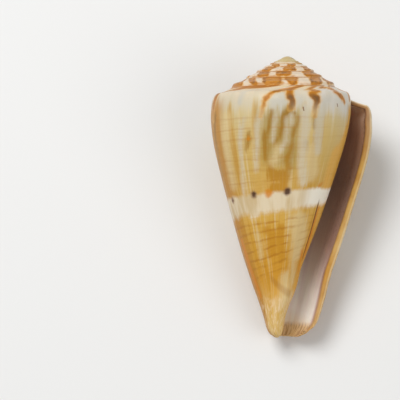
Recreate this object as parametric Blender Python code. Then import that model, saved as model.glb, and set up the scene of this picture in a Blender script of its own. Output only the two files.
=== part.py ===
"""A cone shell that lies on its back, with its aperture up, on a small flat spot.

The shell is one piece: a tube that winds round an axis and grows by the same factor in each whorl,
so that every whorl is a smaller copy of the next one. It is first made upright, with the apex of its
growth cone at the origin and the axis along Z, and is then laid down.

An angle is counted backwards in growth, from the lip at +X towards +Y. A growth is the same thing in
whorls, 0 at the lip and negative before it. A depth is measured down the axis from the apex.
"""

import math

import bmesh
import bpy
from mathutils import Matrix, Vector

MM = 0.001

# Growth of the spiral
WHORL_RATIO = 1.335     # size of a whorl over the one before it
WHORLS = 8              # from the apex to the lip
SEGMENTS = 48           # columns of faces in a whorl
NOTCH_SEGMENTS = 3      # how far the lip lags behind at the suture

# Outline of the last whorl at the lip, as radius and depth
SHOULDER_EDGE = Vector((18.75, 11.9)) * MM
SHOULDER_CORNER = Vector((19.9, 12.35)) * MM
WIDEST = Vector((20.05, 15.3)) * MM
SUTURE_PLACE = 0.65     # where the next whorl meets the curve from edge to widest
RAMP_SAG = 0.25 * MM
SIDE_OUTLINE = [
    Vector((20.1, 18.6)) * MM,
    Vector((19.1, 25.5)) * MM,
    Vector((16.65, 34.8)) * MM,
    Vector((13.85, 44.1)) * MM,
    Vector((10.9, 53.4)) * MM,
    Vector((7.5, 62.7)) * MM,
    Vector((4.2, 71.5)) * MM,
    Vector((2.9, 77.5)) * MM,
    Vector((2.1, 84.5)) * MM,
    Vector((1.6, 105.0)) * MM,
]
BLUNT_APEX = 1.05 * MM  # how much of the growth cone's tip is missing
BLUNT_REACH = 2.3 * MM  # depth over which that fades out

# Anterior end
END_DEPTH = 66.2 * MM
END_CURL = 2.6 * MM     # length over which the wall turns in
END_CLOSING = 0.2       # share of the radius that the turn takes away from the wall
TIP_CLOSING = 0.5       # the same for the columella's tip
CANAL_BULGE = 0.12      # extra radius of the wall behind the canal
LIP_CORNER_DROP = 1.3 * MM  # how much shorter the wall is at the lip
LIP_CORNER_ANGLE = math.radians(14)
COLUMELLA_SHIFT = 0.6 * MM
FASCIOLE_SWELL = 1.2 * MM   # the ridge that the old ends of the canal leave round the columella
FASCIOLE_DEPTH = 73 * MM    # at the lip's scale
FASCIOLE_WIDTH = 5 * MM

# Wall and hollow
RAMP_WALL = 0.95 * MM
SIDE_WALL = 1.5 * MM
END_WALL = 0.8 * MM
LIP_ROUND = 0.3 * MM
HOLLOW_TURNS = 0.64     # how far the hollow winds in under the shoulder
HOLLOW_SEGMENTS = 15    # how far it winds in at the anterior end

# Rows of faces along the outline
RAMP_ROWS = 4
SHOULDER_STEPS = [0.0, 0.3, SUTURE_PLACE, 0.85, 1.0]
SIDE_ROWS = 15
CURL_ROWS = 3

# How it lies
ROLL = math.radians(0)
PITCH = math.radians(14.3)
FLAT_SPOT_DEPTH = 0.18 * MM

LAP = SEGMENTS + NOTCH_SEGMENTS
NOTCH_ANGLE = math.tau * NOTCH_SEGMENTS / SEGMENTS
SUTURE_ROW = RAMP_ROWS + SHOULDER_STEPS.index(SUTURE_PLACE)
WIDEST_ROW = RAMP_ROWS + len(SHOULDER_STEPS) - 1
LAST_ROW = WIDEST_ROW + SIDE_ROWS + CURL_ROWS


def bezier(start, corner, end, t):
    return start * (1 - t) ** 2 + corner * 2 * t * (1 - t) + end * t * t


def shoulder_point(t):
    return bezier(SHOULDER_EDGE, SHOULDER_CORNER, WIDEST, t)


def suture_point():
    """Where the ramp starts: on the shoulder of the whorl before, at the same angle."""
    return shoulder_point(SUTURE_PLACE) / WHORL_RATIO ** (LAP / SEGMENTS)


def side_radius(depth):
    """Radius of the side at the lip, as a smooth curve through the outline's points."""
    points = [WIDEST] + SIDE_OUTLINE
    index = 0
    while index < len(points) - 2 and depth > points[index + 1].y:
        index += 1
    before = points[max(index - 1, 0)]
    start = points[index]
    end = points[index + 1]
    after = points[min(index + 2, len(points) - 1)]
    span = end.y - start.y
    start_slope = 0.0 if index == 0 else (end.x - before.x) / (end.y - before.y) * span
    end_slope = (after.x - start.x) / (after.y - start.y) * span
    t = min((depth - start.y) / span, 1.0)
    return (
        start.x * (2 * t ** 3 - 3 * t ** 2 + 1)
        + start_slope * (t ** 3 - 2 * t ** 2 + t)
        + end.x * (3 * t ** 2 - 2 * t ** 3)
        + end_slope * (t ** 3 - t ** 2)
    )


def smooth_step(value, low, high):
    t = min(max((value - low) / (high - low), 0.0), 1.0)
    return t * t * (3 - 2 * t)


def top_outline():
    """Radius, depth and lag of the rows from the suture over the shoulder to the widest row."""
    suture = suture_point()
    rows = []
    for step in range(RAMP_ROWS):
        t = step / RAMP_ROWS
        point = suture.lerp(SHOULDER_EDGE, t)
        point.y += RAMP_SAG * 4 * t * (1 - t)
        rows.append((point, NOTCH_ANGLE * (1 - t) ** 1.5))
    for t in SHOULDER_STEPS:
        rows.append((shoulder_point(t), 0.0))
    return rows


def wall_thickness(row):
    if row <= RAMP_ROWS:
        return RAMP_WALL
    if row < WIDEST_ROW:
        t = (row - RAMP_ROWS) / (WIDEST_ROW - RAMP_ROWS)
        return RAMP_WALL + (SIDE_WALL - RAMP_WALL) * t
    t = smooth_step(row, LAST_ROW - CURL_ROWS - 4, LAST_ROW)
    return SIDE_WALL + (END_WALL - SIDE_WALL) * t


def inner_top_outline():
    """The top rows again, moved into the wall by its thickness."""
    rows = top_outline()
    inner = []
    for row, (point, lag) in enumerate(rows):
        before = rows[max(row - 1, 0)][0]
        after = rows[min(row + 1, len(rows) - 1)][0]
        along = (after - before).normalized()
        if row == WIDEST_ROW:
            along = Vector((0, 1))
        inward = Vector((-along.y, along.x))
        inner.append((point + inward * wall_thickness(row), lag))
    return inner


def end_depth(angle):
    """Depth of the anterior end, which is shorter at the lip's rounded corner."""
    return END_DEPTH - LIP_CORNER_DROP * math.exp(-((angle / LIP_CORNER_ANGLE) ** 2))


def place(radius, depth, angle):
    """A point by its radius, depth and angle, where the cone's tip is blunt."""
    depth += BLUNT_APEX * math.exp(-depth / BLUNT_REACH)
    return Vector((radius * math.cos(angle), radius * math.sin(angle), -depth))


def fasciole(depth, angle):
    """Height of the ridge, which starts behind the canal and fades out inside the hollow."""
    ridge = FASCIOLE_SWELL * math.exp(-(((depth - FASCIOLE_DEPTH) / FASCIOLE_WIDTH) ** 2))
    start = smooth_step(angle, 0.4 * math.tau, 0.8 * math.tau)
    return ridge * start * (1 - smooth_step(angle, 1.1 * math.tau, 1.3 * math.tau))


def top_point(outline, growth, row):
    scale = WHORL_RATIO ** growth
    point, lag = outline[row]
    return place(point.x * scale, point.y * scale, lag - math.tau * growth)


def side_point(growth, row, thickness=0.0):
    """A point of the side, or with a thickness one of its inner face at the same depth."""
    scale = WHORL_RATIO ** growth
    angle = -math.tau * growth
    start = WIDEST.y * scale
    end = end_depth(angle)
    step = row - WIDEST_ROW
    if step <= SIDE_ROWS:
        depth = start + (end - END_CURL - start) * step / SIDE_ROWS
        turn = 0.0
    else:
        turn = math.pi / 2 * (step - SIDE_ROWS) / CURL_ROWS
        depth = end - END_CURL + END_CURL * math.sin(turn)
    radius = scale * (side_radius(depth / scale) + fasciole(depth / scale, angle))
    near_end = smooth_step(depth, 0.75 * END_DEPTH, END_DEPTH)
    if angle < math.pi:
        radius *= 1 + CANAL_BULGE * near_end * math.sin(angle) ** 2
    closing = END_CLOSING + (TIP_CLOSING - END_CLOSING) * smooth_step(angle, 0.5 * math.pi, 1.2 * math.pi)
    radius *= 1 - closing * (1 - math.cos(turn))
    point = place(radius - thickness, depth, angle)
    point.x -= COLUMELLA_SHIFT * near_end * smooth_step(angle, math.pi, math.tau)
    return point


def add_outside(mesh, first_column):
    """Vertices of all whorls by column and row. A suture row is shared with the next whorl."""
    outline = top_outline()
    vertices = {}
    for column in range(first_column, 1):
        growth = column / SEGMENTS
        last_row = LAST_ROW if column >= -LAP else SUTURE_ROW
        for row in range(last_row + 1):
            below = (column - LAP, SUTURE_ROW)
            if row == 0 and below in vertices:
                vertices[column, row] = vertices[below]
            elif row <= WIDEST_ROW:
                vertices[column, row] = mesh.verts.new(top_point(outline, growth, row))
            else:
                vertices[column, row] = mesh.verts.new(side_point(growth, row))
    for column in range(first_column, 0):
        last_row = LAST_ROW if column >= -LAP else SUTURE_ROW
        for row in range(last_row):
            add_face(mesh, vertices, (column, row), (column + 1, row), (column + 1, row + 1), (column, row + 1))
    return vertices


def add_face(mesh, vertices, *keys):
    mesh.faces.new([vertices[key] for key in keys])


def hollow_growth(row, step, reach):
    """How far back the hollow's column of this step lies, where it winds less far near the end."""
    share = max(row - WIDEST_ROW, 0) / (LAST_ROW - WIDEST_ROW)
    turns = HOLLOW_TURNS + (HOLLOW_SEGMENTS / SEGMENTS - HOLLOW_TURNS) * share ** 1.5
    return -(turns - reach) * step / HOLLOW_SEGMENTS


def add_hollow(mesh, outside):
    """The hollow's two walls: the whorl before, and the inner face of the last whorl."""
    outline = top_outline()
    inner_outline = inner_top_outline()
    notch = NOTCH_SEGMENTS / SEGMENTS
    before = {}
    inner = {}
    for step in range(HOLLOW_SEGMENTS + 1):
        for row in range(WIDEST_ROW, LAST_ROW + 1):
            growth = -LAP / SEGMENTS + hollow_growth(row, step, notch)
            if step == 0:
                before[step, row] = outside[-LAP, row]
            elif row == WIDEST_ROW:
                before[step, row] = mesh.verts.new(top_point(outline, growth, row))
            else:
                before[step, row] = mesh.verts.new(side_point(growth, row))
        inner[step, 0] = before[step, WIDEST_ROW]
        for row in range(1, LAST_ROW + 1):
            growth = hollow_growth(row, step, 0.0)
            if row <= WIDEST_ROW:
                inner[step, row] = mesh.verts.new(top_point(inner_outline, growth, row))
            else:
                inner[step, row] = mesh.verts.new(side_point(growth, row, wall_thickness(row)))
    for step in range(HOLLOW_SEGMENTS):
        for row in range(WIDEST_ROW, LAST_ROW):
            add_face(mesh, before, (step, row), (step + 1, row), (step + 1, row + 1), (step, row + 1))
        for row in range(LAST_ROW):
            add_face(mesh, inner, (step, row), (step + 1, row), (step + 1, row + 1), (step, row + 1))
    close_hollow(mesh, before, inner)
    return before, inner


def close_hollow(mesh, before, inner):
    """The blind end, where the hollow stops inside the shell."""
    last = HOLLOW_SEGMENTS
    mesh.faces.new([inner[last, row] for row in range(WIDEST_ROW + 1)])
    for row in range(WIDEST_ROW, LAST_ROW):
        mesh.faces.new([before[last, row], inner[last, row], inner[last, row + 1], before[last, row + 1]])


def add_lip(mesh, outside, inner):
    """The lip's rounded edge, which ends at the suture on the shoulder of the whorl before."""
    ridge = {0: outside[-LAP, SUTURE_ROW + 1]}
    for row in range(1, LAST_ROW + 1):
        middle = (outside[0, row].co + inner[0, row].co) / 2
        ridge[row] = mesh.verts.new(middle - Vector((0, LIP_ROUND, 0)))
    for row in range(LAST_ROW):
        mesh.faces.new([outside[0, row], ridge[row], ridge[row + 1], outside[0, row + 1]])
        mesh.faces.new([ridge[row], inner[0, row], inner[0, row + 1], ridge[row + 1]])
    mesh.faces.new([outside[0, LAST_ROW], ridge[LAST_ROW], inner[0, LAST_ROW]])


def add_anterior_end(mesh, outside, before, inner):
    """The rim of the canal's wall, and the columella's end."""
    for step in range(HOLLOW_SEGMENTS):
        mesh.faces.new([
            outside[-step, LAST_ROW],
            outside[-step - 1, LAST_ROW],
            inner[step + 1, LAST_ROW],
            inner[step, LAST_ROW],
        ])
    loop = [outside[-column, LAST_ROW] for column in range(HOLLOW_SEGMENTS, LAP + 1)]
    loop += [before[step, LAST_ROW] for step in range(1, HOLLOW_SEGMENTS + 1)]
    loop.append(inner[HOLLOW_SEGMENTS, LAST_ROW])
    mesh.faces.new(loop)


def add_apex(mesh, outside, first_column):
    """A low dome over the open start of the first whorl."""
    loop = [outside[first_column, row] for row in range(SUTURE_ROW, 0, -1)]
    loop += [outside[first_column + column, 0] for column in range(LAP)]
    top = mesh.verts.new((0, 0, -BLUNT_APEX))
    ring = []
    for vertex in loop:
        point = vertex.co.lerp(top.co, 0.45)
        point.z += (top.co.z - vertex.co.z) * 0.3
        ring.append(mesh.verts.new(point))
    for index in range(len(loop)):
        following = (index + 1) % len(loop)
        mesh.faces.new([loop[index], loop[following], ring[following], ring[index]])
        mesh.faces.new([ring[index], ring[following], top])


def lay_down(mesh):
    """Turn the shell on its back and set it on the ground, centred over the origin."""
    turn = Matrix.Rotation(PITCH - math.pi / 2, 3, 'X') @ Matrix.Rotation(ROLL, 3, 'Z')
    bmesh.ops.rotate(mesh, verts=mesh.verts, matrix=turn)
    lowest = min(vertex.co.z for vertex in mesh.verts)
    cut = bmesh.ops.bisect_plane(
        mesh,
        geom=mesh.verts[:] + mesh.edges[:] + mesh.faces[:],
        dist=0.00001,
        plane_co=(0, 0, lowest + FLAT_SPOT_DEPTH),
        plane_no=(0, 0, -1),
        clear_outer=True,
    )
    edges = [item for item in cut['geom_cut'] if isinstance(item, bmesh.types.BMEdge)]
    bmesh.ops.contextual_create(mesh, geom=edges)
    low = [min(vertex.co[axis] for vertex in mesh.verts) for axis in range(3)]
    high = [max(vertex.co[axis] for vertex in mesh.verts) for axis in range(3)]
    middle = Vector(((low[0] + high[0]) / 2, (low[1] + high[1]) / 2, low[2]))
    bmesh.ops.translate(mesh, verts=mesh.verts, vec=-middle)


def shell_material():
    material = bpy.data.materials.new('shell_porcelain')
    material.use_nodes = True
    shader = material.node_tree.nodes['Principled BSDF']
    shader.inputs['Base Color'].default_value = (0.72, 0.48, 0.20, 1.0)
    shader.inputs['Roughness'].default_value = 0.28
    shader.inputs['Metallic'].default_value = 0.0
    return material


def make_shell():
    mesh = bmesh.new()
    first_column = -round(WHORLS * SEGMENTS)
    outside = add_outside(mesh, first_column)
    before, inner = add_hollow(mesh, outside)
    add_lip(mesh, outside, inner)
    add_anterior_end(mesh, outside, before, inner)
    add_apex(mesh, outside, first_column)
    lay_down(mesh)
    bmesh.ops.triangulate(mesh, faces=mesh.faces[:])
    bmesh.ops.recalc_face_normals(mesh, faces=mesh.faces[:])
    data = bpy.data.meshes.new('shell')
    mesh.to_mesh(data)
    mesh.free()
    data.shade_smooth()
    data.set_sharp_from_angle(angle=math.radians(50))
    shell = bpy.data.objects.new('shell', data)
    shell.data.materials.append(shell_material())
    bpy.context.scene.collection.objects.link(shell)
    return shell


for leftover in list(bpy.data.objects):
    bpy.data.objects.remove(leftover)
make_shell()
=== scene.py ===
"""A cone shell that lies on its back on a pale floor, with its aperture up.

The shell is a tube that winds round an axis and grows by the same factor in each whorl. A turn is a
place along the spiral in whorls, 0 at the lip and negative before it. A fall is a place along the
outline, in mm from the suture at the lip's scale. Lengths are in mm until the mesh is laid down.

The markings are strokes, each a row of (turn, fall, half width) along the middle of the mark. Of a soft
edge's two numbers the first is where a mask is 0 and the second where it is 1. Four numbers are a mask's
start and its end: 0, 1, 1 and 0. Two pairs are an edge and the mask's values at it.
"""

import math

import bmesh
import bpy
import numpy as np
from mathutils import Matrix, Vector


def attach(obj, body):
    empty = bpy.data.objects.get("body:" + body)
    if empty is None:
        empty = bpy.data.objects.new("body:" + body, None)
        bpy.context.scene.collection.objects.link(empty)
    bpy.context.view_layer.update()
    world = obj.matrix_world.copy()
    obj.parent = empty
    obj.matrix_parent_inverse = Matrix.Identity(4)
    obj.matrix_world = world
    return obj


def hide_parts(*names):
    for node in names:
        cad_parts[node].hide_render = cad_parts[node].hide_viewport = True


MM = 0.001
TAU = math.tau
TINY = 1e-9

# Growth of the spiral
WHORL_RATIO = 1.335
WHORLS = 8
SEGMENTS = 240
NOTCH_SEGMENTS = 15
LAP = SEGMENTS + NOTCH_SEGMENTS
NOTCH_TURN = NOTCH_SEGMENTS / SEGMENTS
NOTCH_POWER = 1.5

# Outline of the last whorl at the lip, as radius and depth
SHOULDER_EDGE = np.array((18.75, 11.9))
SHOULDER_CORNER = np.array((19.9, 12.35))
WIDEST = np.array((20.05, 15.3))
GIRTH = TAU * WIDEST[0]
SUTURE_PLACE = 0.65
RAMP_SAG = 0.25
SIDE_OUTLINE = np.array([
    WIDEST,
    (20.1, 18.6),
    (19.1, 25.5),
    (16.65, 34.8),
    (13.85, 44.1),
    (10.9, 53.4),
    (7.5, 62.7),
    (4.2, 71.5),
    (2.9, 77.5),
    (2.1, 84.5),
    (1.6, 105.0),
])
BLUNT_APEX = 1.05
BLUNT_REACH = 2.3
APEX_RINGS = (0.3, 0.6, 0.85)

# Anterior end, with angles from the lip back along the spiral
END_DEPTH = 66.2
END_SHARE = 0.75
END_CURL = 2.6
END_CLOSING = 0.2
TIP_CLOSING = 0.5
TIP_CLOSING_ANGLES = (0.5 * math.pi, 1.2 * math.pi)
CANAL_BULGE = 0.12
LIP_CORNER_DROP = 1.3
LIP_CORNER_ANGLE = math.radians(14)
LIP_FLARE = 0.2
COLUMELLA_SHIFT = 0.6
COLUMELLA_ANGLES = (math.pi, TAU)
FASCIOLE_SWELL = 1.2
FASCIOLE_DEPTH = 73.0
FASCIOLE_WIDTH = 5.0
FASCIOLE_START = (0.4 * TAU, 0.8 * TAU)
FASCIOLE_END = (1.1 * TAU, 1.3 * TAU)
CAP_BULGE = 0.5
CAP_RINGS = (0.2, 0.42, 0.64, 0.84)

# Wall and hollow
RAMP_WALL = 0.95
SIDE_WALL = 1.5
END_WALL = 0.8
END_WALL_START = 11 / 15
LIP_ROUND = 0.3
LIP_ROUND_POWER = 0.7
CANAL_ROUND = 0.22
LIP_INWARD = 1.2
HOLLOW_TURNS = 0.64
END_HOLLOW_TURNS = 15 / 48
HOLLOW_POWER = 1.5
HOLLOW_STEPS = round(END_HOLLOW_TURNS * SEGMENTS)

# Rows of faces along the outline
RAMP_ROWS = 10
SHOULDER_STEPS = [0.0, 0.13, 0.26, 0.39, 0.52, SUTURE_PLACE, 0.71, 0.77, 0.83, 0.89, 0.95, 1.0]
SIDE_ROWS = 62
CURL_ROWS = 7
SUTURE_ROW = RAMP_ROWS + SHOULDER_STEPS.index(SUTURE_PLACE)
WIDEST_ROW = RAMP_ROWS + len(SHOULDER_STEPS) - 1
LAST_ROW = WIDEST_ROW + SIDE_ROWS + CURL_ROWS
LIP_STEPS = WIDEST_ROW - SUTURE_ROW

# Low relief: height, length of its cells along the girth and down the outline, and seed
RELIEF = [(0.10, 19.0, 13.0, 1), (0.035, 5.5, 60.0, 2), (0.03, 2.1, 45.0, 3), (0.018, 0.9, 30.0, 4)]
GROOVE_WAVE = (0.5, 6.0, 5.0, 5)
GROOVES = (0.03, 60.0, 0.95, 6)
GROOVE_SHARE_ABOVE = 0.25
GROOVE_FALLS = (30, 52)
INNER_RELIEF = 0.4
CHIPS = [(0.12, 3.1, 21), (0.08, 1.3, 22)]

# How it lies
PITCH = math.radians(14.3)
REST_SHIFT = np.array((-1.3803, 32.6756, 22.9434))

# Camera, from the photograph of 400 by 400 pixels, with distances in mm
PHOTO_SIZE = 400
MM_PER_PIXEL = 0.2319
APEX_PIXEL = (288.7, 55.7)
AIM_UNDER_APEX = 5.0
CAMERA_DISTANCE = 600.0
CAMERA_CENTRE_HEIGHT = 18.0
CAMERA_TILT = 0.029
SENSOR_WIDTH = 36.0
CLIP_RANGE_M = (0.01, 10.0)

# Floor and light, in metres and watts
FLOOR_SIZE = 3.0
FLOOR_COLOUR = (0.78, 0.78, 0.77, 1.0)
FLOOR_ROUGHNESS = 0.75
SKY_STRENGTH = 0.39
LIGHT_AIM = (0.0, 0.0, 0.015)
LIGHTS = [('key', (-0.26, 0.22, 0.60), 0.40, 3.2), ('fill', (0.40, -0.20, 0.50), 0.5, 1.1)]

# Brown flames of the shoulder
FLAMES = [
    [(-0.084, 0.9, 0.37), (-0.117, 3.3, 0.39), (-0.113, 5.6, 0.49), (-0.093, 7.1, 0.39),
     (-0.082, 9.1, 0.27)],
    [(-0.054, 1.8, 0.24), (-0.082, 4.5, 0.24), (-0.07, 6.4, 0.19)],
    [(-0.147, 4.6, 0.37), (-0.137, 6.1, 0.5), (-0.127, 7.3, 0.4), (-0.125, 9.4, 0.25)],
    [(-0.168, 0.5, 0.6), (-0.154, 1, 0.75), (-0.141, 1.6, 0.89), (-0.165, 4, 0.75), (-0.159, 6.4, 0.55),
     (-0.15, 8, 0.37), (-0.146, 10.2, 0.2)],
    [(-0.195, 0.6, 0.3), (-0.197, 1.6, 0.3), (-0.21, 3.5, 0.25), (-0.204, 5.4, 0.33), (-0.198, 6.2, 0.23)],
    [(-0.275, 0.3, 0.45), (-0.242, 0.8, 0.4)],
    [(-0.251, 1.6, 0.23), (-0.262, 3.8, 0.28), (-0.253, 6.1, 0.23)],
    [(-0.315, 0.3, 0.6), (-0.327, 2.2, 0.73), (-0.327, 5.8, 0.58), (-0.32, 7.9, 0.39), (-0.317, 9.8, 0.21)],
    [(-0.342, 3, 0.53), (-0.374, 4.9, 0.53), (-0.356, 6.9, 0.48), (-0.352, 9.1, 0.24)],
    [(-0.375, 0.5, 0.6), (-0.399, 3.6, 0.86), (-0.409, 6.1, 0.8), (-0.412, 7.9, 0.43)],
    [(-0.444, 0.6, 0.41), (-0.475, 4.6, 0.49), (-0.461, 7.5, 0.44), (-0.464, 9.5, 0.27)],
    [(-0.66, 0.5, 0.4), (-0.6, 0.9, 0.8), (-0.565, 1.7, 1.1), (-0.545, 2.8, 1.1), (-0.54, 4.4, 1.2),
     (-0.54, 6.5, 1.1), (-0.535, 9, 0.9), (-0.535, 12, 0.6)],
    [(-0.752, 4.6, 0.3), (-0.731, 4.7, 0.3), (-0.716, 5.5, 0.4), (-0.707, 6.8, 0.45), (-0.701, 8.4, 0.35),
     (-0.697, 10.4, 0.1), (-0.694, 12.4, -0.05)],
    [(-0.745, 1.2, 0.7), (-0.742, 2.6, 0.85), (-0.757, 4.3, 1), (-0.759, 6.6, 0.9), (-0.765, 8.1, 0.6),
     (-0.763, 9.6, 0.8)],
    [(-0.792, 1.4, 0.6), (-0.8, 3.2, 0.7), (-0.831, 4.7, 0.71), (-0.809, 5.9, 0.5), (-0.825, 6.9, 0.85),
     (-0.824, 8.6, 0.7), (-0.819, 10.4, 0.5), (-0.819, 12.2, 0.3)],
    [(-0.82, 1.4, 0.3), (-0.85, 1.4, 0.35), (-0.872, 2.2, 0.4), (-0.896, 4.3, 0.5)],
    [(-0.885, 5, 0.4), (-0.908, 6.8, 0.7), (-0.92, 8.2, 0.4)],
    [(-0.93, 1.4, 0.4), (-0.962, 4.2, 0.55), (-0.957, 7.5, 0.4)],
    [(-1.005, 0.9, 0.5), (-1.02, 3.6, 0.6), (-1.01, 6, 0.35)],
    [(-0.015, 0.8, 0.3), (-0.03, 3.8, 0.32), (-0.024, 6, 0.2)],
]

# Brown blotches of the whorls above, each from a fall with its first and last turn to another such row
BLOTCHES = [
    (1, -1.07, -1.125, 6.3, -1.05, -1.116),
    (1.2, -1.15, -1.2, 6.6, -1.16, -1.215),
    (0, -1.15, -1.222, 0.9, -1.15, -1.222),
    (0.6, -1.222, -1.306, 6.3, -1.25, -1.285),
    (0, -1.325, -1.37, 6.6, -1.335, -1.365),
    (0.6, -1.42, -1.45, 6.2, -1.378, -1.408),
    (3.7, -1.455, -1.47, 6, -1.426, -1.448),
    (0.5, -1.5, -1.545, 6.2, -1.52, -1.6),
    (0, -1.572, -1.607, 6.3, -1.64, -1.656),
    (0, -1.654, -1.727, 6.3, -1.682, -1.731),
    (0, -1.738, -1.79, 6.6, -1.762, -1.78),
    (0, -1.85, -1.915, 6.3, -1.83, -1.868),
    (1, -1.93, -2.01, 5.6, -1.905, -1.985),
    (1, -2.02, -2.05, 6.3, -2.03, -2.08),
    (0.8, -2.09, -2.15, 6.2, -2.095, -2.152),
    (3.8, -2.17, -2.192, 6.6, -2.17, -2.196),
    (0, -2.19, -2.265, 6, -2.222, -2.268),
    (0, -2.318, -2.425, 6.3, -2.335, -2.372),
    (0.3, -2.539, -2.539, 6, -2.539, -2.556),
    (0.3, -2.585, -2.652, 6, -2.621, -2.671),
    (0.3, -2.699, -2.768, 6, -2.708, -2.764),
    (0.3, -2.836, -2.925, 6, -2.83, -2.95),
    (0.5, -3.04, -3.1, 6.2, -3.04, -3.12),
    (0, -3.17, -3.248, 6.3, -3.178, -3.235),
    (0, -3.262, -3.302, 6, -3.265, -3.295),
    (0, -3.35, -3.43, 6.3, -3.325, -3.42),
    (0.3, -3.577, -3.674, 6, -3.595, -3.655),
    (0.3, -3.733, -3.8, 6, -3.729, -3.801),
    (0.3, -3.884, -3.961, 6, -3.855, -3.91),
    (0.5, -4.13, -4.19, 6, -4.125, -4.185),
    (0, -4.25, -4.345, 6.3, -4.25, -4.335),
    (1, -4.39, -4.45, 5.5, -4.38, -4.44),
    (0.3, -4.593, -4.667, 6, -4.636, -4.695),
    (0.3, -4.757, -4.83, 6, -4.755, -4.811),
    (0, -5.27, -5.35, 5, -5.28, -5.36),
    (0.3, -5.5, -5.6, 6, -5.5, -5.6),
    (0.3, -5.85, -5.95, 6, -5.85, -5.95),
]

# Dark spots above the pale band
SPOTS = [
    [(-0.082, 33.2, 0.6)],
    [(-0.142, 33.4, 0.65), (-0.142, 34.6, 0.6)],
    [(-0.175, 33, 0.6), (-0.175, 34, 0.55)],
    [(-0.224, 32.6, 0.5), (-0.224, 33.6, 0.55)],
    [(-0.287, 33.4, 0.8), (-0.29, 34.4, 0.8)],
    [(-0.328, 33.8, 0.55), (-0.328, 34.4, 0.5)],
    [(-0.371, 34.1, 0.65)],
    [(-0.561, 34.2, 0.75)],
    [(-0.658, 33.6, 0.9)],
    [(-0.762, 33.7, 1.05)],
]
ORANGE_MARKS = [
    [(-0.706, 33.7, 1.1)],
    [(-0.872, 33, 0.5), (-0.884, 32.4, 0.3)],
    [(-0.303, 38.8, 0.39)],
    [(-0.46, 38.9, 0.38)],
    [(-0.735, 1.5, 0.9), (-0.727, 3.3, 0.8), (-0.745, 4.4, 0.6)],
    [(-0.662, 18.1, 0.5)],
    [(-0.902, 39.9, 0.5), (-0.898, 43.9, 0.7), (-0.904, 49.3, 0.8), (-0.914, 55.2, 0.5)],
    [(-0.134, 61.6, 0.35), (-0.182, 62.9, 0.4)],
    [(-0.6, 0.35, 0.4), (-0.5, 0.4, 0.4), (-0.42, 0.4, 0.3)],
    [(-0.55, 45.2, 0.7), (-0.545, 52.1, 0.9), (-0.56, 60.1, 0.7)],
    [(-0.87, 52.1, 0.45), (-0.885, 55.8, 0.4), (-0.905, 59.7, 0.3)],
]

# Tawny streaks of the body
TAWNY = [
    [(-0.718, 10.8, 0.46), (-0.713, 15.3, 0.63), (-0.703, 18, 0.68), (-0.701, 24.2, 0.62)],
    [(-0.76, 10.2, 0.85), (-0.745, 12.4, 0.69), (-0.742, 15.4, 0.8), (-0.737, 18, 0.57),
     (-0.727, 19.8, 0.43)],
    [(-0.769, 11.2, 0.43), (-0.78, 12.9, 0.52), (-0.775, 15.2, 0.46), (-0.771, 16.6, 0.46),
     (-0.768, 18.2, 0.35)],
    [(-0.767, 20.4, 0.43), (-0.766, 22.3, 0.52), (-0.755, 24.4, 0.52), (-0.762, 26.7, 0.69)],
    [(-0.665, 16.2, 0.34), (-0.662, 18.4, 0.62), (-0.653, 21.4, 0.28)],
    [(-0.712, 26.4, 0.7), (-0.722, 28.9, 1.72), (-0.752, 29, 1.44), (-0.752, 32.5, 1.15),
     (-0.72, 32.3, 1.4)],
    [(-0.799, 20.1, 0.73), (-0.806, 22.2, 0.59)],
    [(-0.818, 12.8, 0.47), (-0.821, 15.6, 0.41)],
    [(-0.553, 11.1, 0.5), (-0.539, 16.4, 0.8), (-0.533, 21.8, 1), (-0.528, 27.9, 1), (-0.526, 32.1, 0.9)],
    [(-0.69, 43.6, 1), (-0.71, 46, 1.4), (-0.7, 50.5, 1.2)],
    [(-0.745, 44, 1), (-0.74, 48.5, 1.2), (-0.755, 53, 0.8)],
    [(-0.57, 43.3, 1.4), (-0.57, 49.2, 1.3)],
    [(-0.16, 42, 2.5), (-0.2, 47, 2.2), (-0.18, 54, 2)],
    [(-0.4, 44, 1.6), (-0.43, 50, 1.8), (-0.42, 56, 1.4)],
    [(-0.06, 14, 1.2), (-0.05, 22, 1.5), (-0.05, 30, 1.2)],
]

# Pale streaks of the body
PALE = [
    [(-0.696, 10.6, 0.4), (-0.687, 14.7, 0.57), (-0.683, 20.2, 0.62), (-0.672, 27, 0.45)],
    [(-0.653, 12.6, 0.56), (-0.639, 18.6, 0.56), (-0.634, 25.3, 0.6), (-0.623, 33.1, 0.5)],
    [(-0.764, 12.3, 0.42), (-0.764, 14.3, 0.42)],
    [(-0.73, 11.2, 0.57), (-0.725, 15.1, 0.51), (-0.721, 19, 0.43)],
    [(-0.752, 13, 0.35), (-0.754, 16.3, 0.52), (-0.752, 19.7, 0.58), (-0.741, 21.9, 0.57)],
    [(-0.791, 10.1, 1.17), (-0.798, 15, 1.46), (-0.796, 19.3, 1.17), (-0.795, 24.4, 1.31),
     (-0.808, 31.3, 1.3)],
    [(-0.845, 9.3, 1.48), (-0.832, 13.6, 1.4), (-0.834, 17.9, 1.4), (-0.84, 22.8, 1)],
    [(-0.729, 7.5, 1.15), (-0.723, 9.2, 1)],
    [(-0.647, 3.6, 0.84), (-0.64, 8, 0.7)],
    [(-0.784, 7.2, 1.02), (-0.786, 9, 0.87)],
    [(-0.862, 5.3, 1.2), (-0.852, 7.4, 1.4)],
    [(-0.905, 2.4, 0.25), (-0.926, 6.9, 0.25), (-0.94, 9.2, 0.25), (-0.946, 14.6, 0.2)],
    [(-0.66, 39.1, 0.8), (-0.63, 40, 0.5)],
    [(-0.872, 65.5, 0.4), (-0.89, 69.1, 0.6)],
    [(-0.687, 64, 0.42), (-0.768, 65.6, 0.52), (-0.734, 67.2, 0.43)],
    [(-0.26, 61.2, 0.3)],
]

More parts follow.
